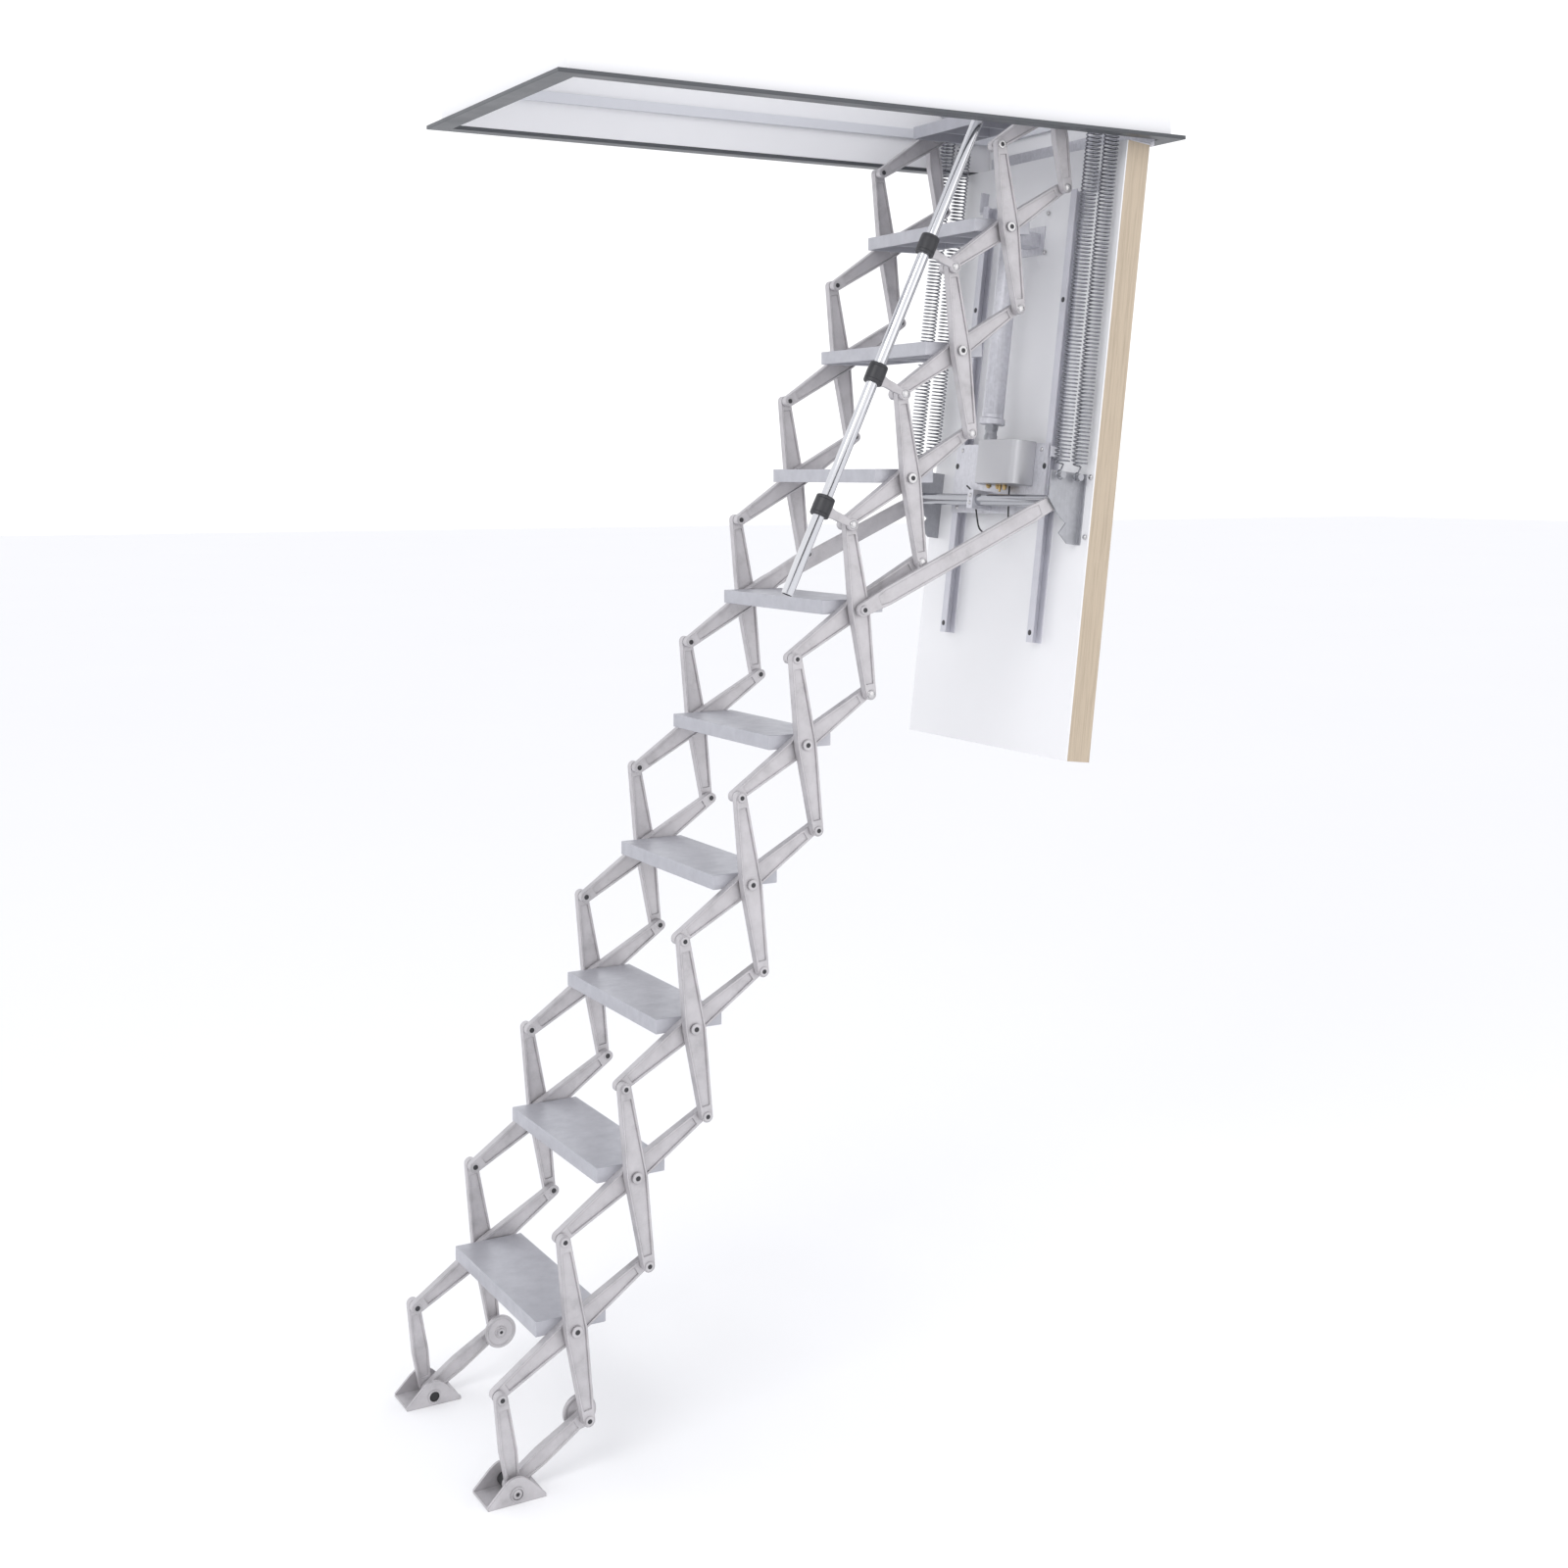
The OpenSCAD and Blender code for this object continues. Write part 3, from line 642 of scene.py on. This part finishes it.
def end_sockets(i):
    """The open ends of the pivots on the inner faces of inner arm pair i."""
    rims, floors = Batch(), Batch()
    ends = ([FRONT[i - 1]] if i else []) + ([REAR[i + 1]] if i < COUNT else [])
    for side in (-1, 1):
        for at in ends:
            spot = beside(at, side, INNER_Y, -1)
            rims.put(lathe([(0.0050, -0.0004), (0.0050, 0.0002), (0.0056, 0.0003), (0.0082, 0.0002),
                            (0.0086, -0.0002), (0.0086, -0.0004)], closed=True), spot)
            # A black disc just inside each open pivot end: painted shade for the dark of the hollow.
            floors.put(lathe([(0, -0.0003), (0.003, -0.0002), (0.00505, -0.0001), (0.00505, -0.0006),
                              (0, -0.0006)], n=24), spot)
    rims.make_slot(f"end_rims_{i:02d}", "cast_aluminium", f"inner_{i:02d}")
    floors.make_slot(f"end_sockets_{i:02d}", "black_plastic", f"inner_{i:02d}")


for i in range(COUNT + 1):
    end_sockets(i)

# ---- lifting springs ----

SPRING_R = 0.0153
SPRING_HALF = 0.017
WIRE_R = 0.0016
WIRE_SIDES = 7
PITCH = 0.0079
EYE_R = 0.009
EYE_GAP = 0.12
EYE_STEPS = 14
END = 0.022
TURN_STEPS = 12
NECK = 0.35


def spring_line(top, low, side):
    """The wire of one spring, from the eye at its anchor to the eye at its lower pin."""
    axis = (low - top).normalized()
    out = axis.cross(SIDEWAYS)
    length = (low - top).length - 2 * END
    last = round(length / PITCH) * TURN_STEPS
    eye = 1 - EYE_GAP
    line = []
    for k in range(EYE_STEPS + 1):
        a = math.tau * (EYE_GAP + eye * k / EYE_STEPS)
        line.append(top + EYE_R * (math.cos(a) * axis + math.sin(a) * out))
    for k in range(last + 1):
        a = math.tau * k / TURN_STEPS
        grow = min(1.0, NECK + k / TURN_STEPS, NECK + (last - k) / TURN_STEPS)
        line.append(top + axis * (END + length * k / last)
                    + SPRING_R * grow * (math.cos(a) * out + side * math.sin(a) * SIDEWAYS))
    for k in range(EYE_STEPS + 1):
        a = math.tau * eye * k / EYE_STEPS
        line.append(low - EYE_R * (math.cos(a) * axis + math.sin(a) * out))
    return line


def spring_row(row):
    """Both springs of a row, coiled along their line."""
    joint = f"spring_{row}_swing"
    node = f"springs_{row}"
    low_box, high_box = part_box(node)
    anchor = pivot(joint)
    span = (low_box.z + EYE_R + 0.0017 - anchor.z) / U.z
    lower = anchor + U * span
    coils = Batch()
    for side in (-1, 1):
        off = Vector((0, side * (high_box.y - SPRING_HALF), 0))
        coils.put(tube(spring_line(anchor + off, lower + off, side), WIRE_R, WIRE_SIDES))
    coil = coils.make_slot(f"coils_{row}", "spring_steel", f"spring_row_{row}")
    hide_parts(node)
    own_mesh(coil)


for row in ("front", "rear"):
    spring_row(row)

# ---- wheels ----

WHEEL_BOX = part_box("wheels")
WHEEL_R = (WHEEL_BOX[1].z - WHEEL_BOX[0].z) / 2
WHEEL_THICK = 0.014
HUB_SUNK = 0.0006


def wheels():
    """Flat discs with a raised rim and a hub."""
    discs = Batch()
    for side in (-1, 1):
        discs.put(lathe([(0.0051, -0.0005), (0.0105, -0.0005), (0.0118, 0.0012), (WHEEL_R - 0.006, 0.0016),
                         (WHEEL_R - 0.0045, 0.0002), (WHEEL_R - 0.0012, 0.0), (WHEEL_R, 0.0012),
                         (WHEEL_R, 0.0078), (WHEEL_R - 0.0012, 0.009), (WHEEL_R - 0.0045, 0.0088),
                         (WHEEL_R - 0.006, 0.0074), (0.0118, 0.0078), (0.0095, 0.0095), (0.009, 0.0138),
                         (0.0051, 0.0138)], closed=True, n=56),
                  beside(REAR[1], side, WHEEL_BOX[1].y - WHEEL_THICK))
    disc = discs.make_slot("wheel_discs", "cast_aluminium", "wheel_pair")
    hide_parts("wheels")


def wheel_hubs():
    """The axle ends on the wheels' inner sides."""
    caps, sockets = Batch(), Batch()
    for side in (-1, 1):
        spot = beside(REAR[1], side, WHEEL_BOX[1].y - WHEEL_THICK - HUB_SUNK, -1)
        caps.put(lathe([(0.0032, 0.0), (0.0032, 0.0024), (0.0038, 0.0028), (0.0072, 0.0026),
                        (0.0078, 0.0018), (0.0078, 0.0)], closed=True), spot)
        # A black disc in each axle end: painted shade for the dark of its bore.
        sockets.put(lathe([(0, 0.0016), (0.0033, 0.0017), (0.0033, 0.0), (0, 0.0)], n=24), spot)
    caps.make_slot("wheel_hub_caps", "cast_aluminium", "outer_01")
    sockets.make_slot("wheel_hub_sockets", "black_plastic", "outer_01")


wheels()
wheel_hubs()

# ---- feet ----

EAR_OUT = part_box("foot_rollers")[1].y - 0.0025
EAR_IN = 0.182
EAR_SUNK = 0.0004
ROLLER_IN = 0.1885


def feet():
    """Rubber rollers in the shoes, with a plug on each inner ear and a bolt on each outer one."""
    rollers, rings, plugs, bolts, sockets = (Batch() for _ in range(5))
    for side in (-1, 1):
        outer = beside(CENTRE[0], side, EAR_OUT - EAR_SUNK)
        inner = beside(CENTRE[0], side, EAR_IN + EAR_SUNK, -1)
        rollers.put(lathe([(0.0052, 0.0005), (0.0095, 0.0), (0.0113, 0.0015), (0.0113, 0.0185),
                           (0.0095, 0.0205), (0.0052, 0.0205)], closed=True),
                    beside(CENTRE[0], side, ROLLER_IN))
        for spot in (outer, inner):
            rings.put(boss(0.0128, 0.0096), spot)
        plugs.put(lathe([(0, 0.0026), (0.006, 0.0025), (0.0086, 0.0021), (0.0094, 0.0014),
                         (0.0094, 0.0), (0, 0.0)]), inner)
        bolts.put(lathe([(0, 0.0004), (0.0034, 0.0004), (0.0036, 0.0029), (0.0042, 0.0031),
                         (0.0078, 0.0026), (0.0092, 0.0012), (0.0095, 0.0), (0, 0.0)]), outer)
        # A black hex in each bolt head: painted shade for the dark of its socket.
        sockets.put(lathe([(0, 0.0018), (0.0035, 0.0018), (0.0035, 0.0002), (0, 0.0002)], n=6), outer)
    roller = rollers.make_slot("foot_roller_pair", "black_rubber", "feet")
    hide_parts("foot_rollers")
    rings.make_slot("foot_ear_rings", "cast_aluminium", "feet")
    plugs.make_slot("foot_plugs", "black_rubber", "feet")
    bolts.make_slot("foot_bolts", "cast_aluminium", "feet")
    sockets.make_slot("foot_bolt_sockets", "black_plastic", "feet")


feet()

# ---- handrail collars and their brackets ----

RAIL_R = 0.0115
COLLAR_R = 0.019
COLLAR_L = 0.040
COLLAR_BORE = 0.0117
RAIL_OFFSET = 0.085
RAIL_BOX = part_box("handrail_tube")
RAIL_MIDDLE = (RAIL_BOX[0] + RAIL_BOX[1]) / 2
RAIL_DIR = (CENTRE[8] - CENTRE[7]).normalized()
RAIL_OUT = Vector((-RAIL_DIR.z, 0, RAIL_DIR.x))
BRACKET_Y = -0.2505
BRACKET_THICK = 0.008
BRACKET_EYE = 0.012
BRACKET_NECK = 0.0085
BRACKET_FOOT = 0.0125
EYE_OPENS = 0.6


def collar_sleeve():
    """A short sleeve with a shallow groove near each end."""
    h = COLLAR_L / 2
    half = [(COLLAR_R - 0.0003, h - 0.0072), (COLLAR_R - 0.0009, h - 0.0066), (COLLAR_R - 0.0003, h - 0.006),
            (COLLAR_R - 0.0006, h - 0.0016), (COLLAR_R - 0.0022, h), (COLLAR_BORE, h)]
    mirrored = [(r, -z) for r, z in reversed(half)]
    return lathe([*mirrored, (COLLAR_R, 0), *half], closed=True, n=48)


def bracket_outline():
    """A round eye and a waisted arm that widens towards the sleeve and ends short of it."""
    reach = RAIL_OFFSET - COLLAR_R + 0.004
    outline = [(BRACKET_EYE * math.cos(a), BRACKET_EYE * math.sin(a))
               for a in np.linspace(EYE_OPENS, math.tau - EYE_OPENS, 22)]
    below = [(0.026, -BRACKET_NECK), (0.045, -BRACKET_NECK), (reach - 0.008, -BRACKET_FOOT),
             (reach, -BRACKET_FOOT)]
    return outline + below + [(x, -y) for x, y in reversed(below)]


def collar(i, body):
    """The sleeve, bracket and rivet on section i's front pivot."""
    hub = Vector((FRONT[i].x, 0, FRONT[i].z))
    at = hub + RAIL_OUT * RAIL_OFFSET
    at.y = RAIL_MIDDLE.y
    name = f"collar_{body.split('_')[1]}"
    sleeve = Batch()
    sleeve.put(collar_sleeve(), basis(at, RAIL_OUT, -SIDEWAYS, RAIL_DIR))
    made = sleeve.make_slot(f"{name}_sleeve", "black_plastic", body)
    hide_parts(name)
    arm = Batch()
    arm.put(plate(bracket_outline(), BRACKET_THICK),
            basis(hub + SIDEWAYS * BRACKET_Y, RAIL_OUT, RAIL_DIR, -SIDEWAYS))
    arm.make_slot(f"{name}_bracket", "cast_aluminium", body, 0.0012)
    cap = Batch()
    cap.put(dome(0.0085), facing(hub + SIDEWAYS * (BRACKET_Y - 0.0078), -1))
    cap.make(f"{name}_rivet", BRIGHT, f"outer_{i:02d}")


for i, body in RAIL_AT.items():
    collar(i, body)

# ---- polished and plated tubes ----

CROSS_HALF = 0.248
CROSS_R = 0.0125
PIN_R = 0.006
SPINDLE_W = 0.1255
DOWN_PANEL = basis(on_panel(0, 0, SPINDLE_W), W, -SIDEWAYS, U)


def handrail():
    """A tube with an open lower end and a rounded upper one."""
    half = (RAIL_BOX[1].z - RAIL_BOX[0].z - 2 * RAIL_R * abs(RAIL_OUT.z)) / 2 / RAIL_DIR.z
    rail = Batch()
    rail.put(lathe([(0, -half + 0.03), (0.0098, -half + 0.03), (0.0098, -half + 0.0004), (0.0102, -half),
                    (0.0109, -half), (RAIL_R, -half + 0.0008), (RAIL_R, half - 0.006),
                    (0.0108, half - 0.0025), (0.0088, half - 0.0006), (0, half)], n=64),
             basis(RAIL_MIDDLE, RAIL_OUT, -SIDEWAYS, RAIL_DIR))
    made = rail.make_slot("handrail_chrome", "chrome", "rail_top")
    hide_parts("handrail_tube")


def cross_tube():
    """A closed tube with a thinner pin and a turned head at each end."""
    low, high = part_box("cross_tube")
    cross = Batch()
    for side in (-1, 1):
        cross.put(lathe([(0, high.y), (0.0072, high.y), (0.0086, high.y - 0.0008), (0.009, high.y - 0.0025),
                         (PIN_R, high.y - 0.0026), (PIN_R, CROSS_HALF), (CROSS_R - 0.001, CROSS_HALF),
                         (CROSS_R, CROSS_HALF - 0.001), (CROSS_R, 0), (0, 0)], n=64),
                  facing((low + high) / 2, side))
    # The cross tube takes the darkened chrome copy: painted shade.
    made = cross.make("cross_tube_chrome", SHADED_CHROME, "carriage", "chrome")
    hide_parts("cross_tube")


def spindle_sleeve():
    """The spindle tube with its end collar; heights are distances from the hinge."""
    spindle = Batch()
    spindle.put(lathe([(0, 0.177), (0.0145, 0.177), (0.0145, 0.595), (0.026, 0.595), (0.0275, 0.5935),
                       (0.0275, 0.5825), (0.026, 0.581), (0.0232, 0.5802), (0.0232, 0.572),
                       (0.0225, 0.5712), (0.023, 0.5704), (0.023, 0.1995), (0.0225, 0.199),
                       (0.0232, 0.198), (0.0232, 0.171), (0.022, 0.169), (0, 0.169)], n=64), DOWN_PANEL)
    made = spindle.make_slot("spindle_sleeve", "galvanised", "hatch_panel")
    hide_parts("spindle_tube")


def drive_rod():
    """The rod from the motor into the spindle tube, with a turned neck."""
    rod = Batch()
    rod.put(lathe([(0, 0.330), (0.013, 0.330), (0.014, 0.331), (0.014, 0.6055), (0.0125, 0.6075),
                   (0.0125, 0.6165), (0.014, 0.6185), (0.014, 0.629), (0, 0.629)], n=48), DOWN_PANEL)
    made = rod.make_slot("drive_rod_turned", "plate_steel", "carriage")
    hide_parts("drive_rod")


handrail()
cross_tube()
spindle_sleeve()
drive_rod()

# ---- drive: terminals, screws and black hole discs as painted shade ----

MOTOR_END = 0.722
RAIL_Y = 0.165
RAIL_FACE = 0.090
PLATE_FACE = 0.095
BRACKET_FACE = 0.068
SUNK = -0.0008
# y, w, radius and height of each terminal
TERMINALS = [(-0.052, 0.112, 0.005, 0.012), (-0.036, 0.113, 0.0035, 0.016),
             (-0.024, 0.111, 0.005, 0.010), (0.006, 0.114, 0.006, 0.009)]
# u, y, w of each screw on the gear housing, the carriage plate and the clamp
CARRIAGE_SCREWS = [(0.640, 0.040, 0.1075), (0.708, 0.050, 0.1075), (0.645, -0.150, 0.0952),
                   (0.770, -0.150, 0.0952), (0.645, 0.150, 0.0952), (0.770, 0.150, 0.0952),
                   (0.748, 0.0285, 0.1435), (0.764, 0.0285, 0.1435)]
PANEL_SCREWS = [(u, side * 0.291) for side in (-1, 1) for u in (0.700, 0.822)]
PANEL_SCREWS += [(u, y) for u in (0.130, 0.215) for y in (-0.047, 0.047)]


def terminal(r, h):
    """A stepped brass stud."""
    return lathe([(0, h), (r * 0.6, h), (r * 0.72, h * 0.7), (r, h * 0.66), (r, h * 0.2), (r * 0.8, 0),
                  (0, 0)], n=12)


def screw_head(r, shoulder, top, shoulder_h, h):
    """A low round screw head."""
    return lathe([(0, h), (top, h), (shoulder, shoulder_h), (r, 0.0004), (r, SUNK), (0, SUNK)], n=20)


def plug(r):
    """A flush black disc set in a hole: painted shade for the dark of the open hole."""
    return lathe([(0, 0.0006), (r * 0.8, 0.0006), (r, 0.0003), (r, SUNK), (0, SUNK)], n=24)


def terminals():
    """The bright studs at the motor's lower end."""
    bits = Batch()
    for y, w, r, h in TERMINALS:
        bits.put(terminal(r, h), basis(on_panel(MOTOR_END - 0.001, y, w), W, SIDEWAYS, U))
    bits.make("motor_terminals", BRASS, "carriage")


def carriage_screws():
    """The screws of the carriage."""
    screws = Batch()
    for u, y, w in CARRIAGE_SCREWS:
        screws.put(screw_head(0.005, 0.0042, 0.0026, 0.0016, 0.0022), on_face(u, y, w))
    screws.make("carriage_screws", BRIGHT, "carriage")


def hole_shade_discs():
    """Black discs in the holes of the rails and the carriage plate, and on the small brackets: painted shade for
    the dark of the open holes.
    """
    rail, carriage = Batch(), Batch()
    for side in (-1, 1):
        for u in (0.330, 1.026):
            rail.put(plug(0.0058), on_face(u, side * RAIL_Y, RAIL_FACE))
        rail.put(plug(0.005), on_face(0.082, side * 0.212, BRACKET_FACE))
        carriage.put(plug(0.0064), on_face(0.680, side * RAIL_Y, PLATE_FACE))
    rail.make_slot("rail_hole_shade", "black_plastic", "hatch_panel")
    carriage.make_slot("carriage_hole_shade", "black_plastic", "carriage")


def panel_screws():
    """Screw heads near the catch plates and the upper spindle bracket, clear of both and of the panel."""
    screws = Batch()
    for u, y in PANEL_SCREWS:
        screws.put(screw_head(0.0054, 0.0045, 0.0028, 0.0018, 0.0026), on_face(u, y, BRACKET_FACE))
    screws.make("panel_screws", BRIGHT, "hatch_panel")


terminals()
carriage_screws()
hole_shade_discs()
panel_screws()

# ---- floor and light ----

FLOOR_Z = cad_box[0].z
EXTENT = 60.0
floor_mesh = bpy.data.meshes.new("studio_floor")
corners = [(-EXTENT, -EXTENT), (EXTENT, -EXTENT), (EXTENT, EXTENT), (-EXTENT, EXTENT)]
floor_mesh.from_pydata([(x, y, FLOOR_Z) for x, y in corners], [], [(0, 1, 2, 3)])
floor = bpy.data.objects.new("studio_floor", floor_mesh)
scene.collection.objects.link(floor)
floor_mesh.materials.append(finish("floor_paper", (0.97, 0.97, 0.975), 0.9, blotch=0.4, depth=0.004,
                                   grain=80.0, grain_h=0.00002, vary=0.02))

SKY = [(0.0, (0.97, 0.97, 0.98)), (0.3, (0.88, 0.885, 0.91)), (1.0, (0.70, 0.705, 0.735))]
world = bpy.data.worlds.new("studio")
scene.world = world
world.use_nodes = True
sky = world.node_tree
direction = add(sky, "ShaderNodeSeparateXYZ", Vector=add(sky, "ShaderNodeTexCoord").outputs["Generated"])
glow = ramp(sky, direction.outputs["Z"], SKY)
sky.links.new(glow, sky.nodes["Background"].inputs["Color"])
sky.nodes["Background"].inputs["Strength"].default_value = 1.0


def aimed(obj, at, aim):
    """Puts an object into the scene, facing a point."""
    obj.location = at
    obj.rotation_euler = (aim - at).to_track_quat("-Z", "Y").to_euler()
    scene.collection.objects.link(obj)


def softbox(name, at, aim, size, power, tint=(1, 1, 1)):
    """A rectangular studio light."""
    data = bpy.data.lights.new(name, "AREA")
    data.shape = "RECTANGLE"
    data.size, data.size_y = size
    data.energy = power
    data.color = tint
    aimed(bpy.data.objects.new(name, data), at, aim)


middle = (cad_box[0] + cad_box[1]) / 2
softbox("key", middle + Vector((-3.6, -2.4, 2.6)), middle, (2.4, 2.4), 48)
softbox("fill", middle + Vector((1.8, -4.2, 0.6)), middle, (2.6, 3.2), 12, (1.0, 0.97, 0.94))


def flag(name, at, aim, size):
    """A dark card that only shiny surfaces see, as in a product studio."""
    x, y = size[0] / 2, size[1] / 2
    verts, faces = plate([(-x, -y), (x, -y), (x, y), (-x, y)], 0.01)
    mesh = bpy.data.meshes.new(name)
    mesh.from_pydata(verts, [], faces)
    mesh.materials.append(MATERIAL["black_rubber"])
    card = bpy.data.objects.new(name, mesh)
    aimed(card, at, aim)
    card.visible_camera = False
    card.visible_diffuse = False
    card.visible_shadow = False


flag("flag_low", middle + Vector((-1.6, -3.2, -0.2)), middle + Vector((0.2, 0, 0.6)), (3.4, 0.5))
flag("flag_side", middle + Vector((3.2, -1.8, 0.6)), middle + Vector((0.2, 0, 0.8)), (0.7, 3.0))
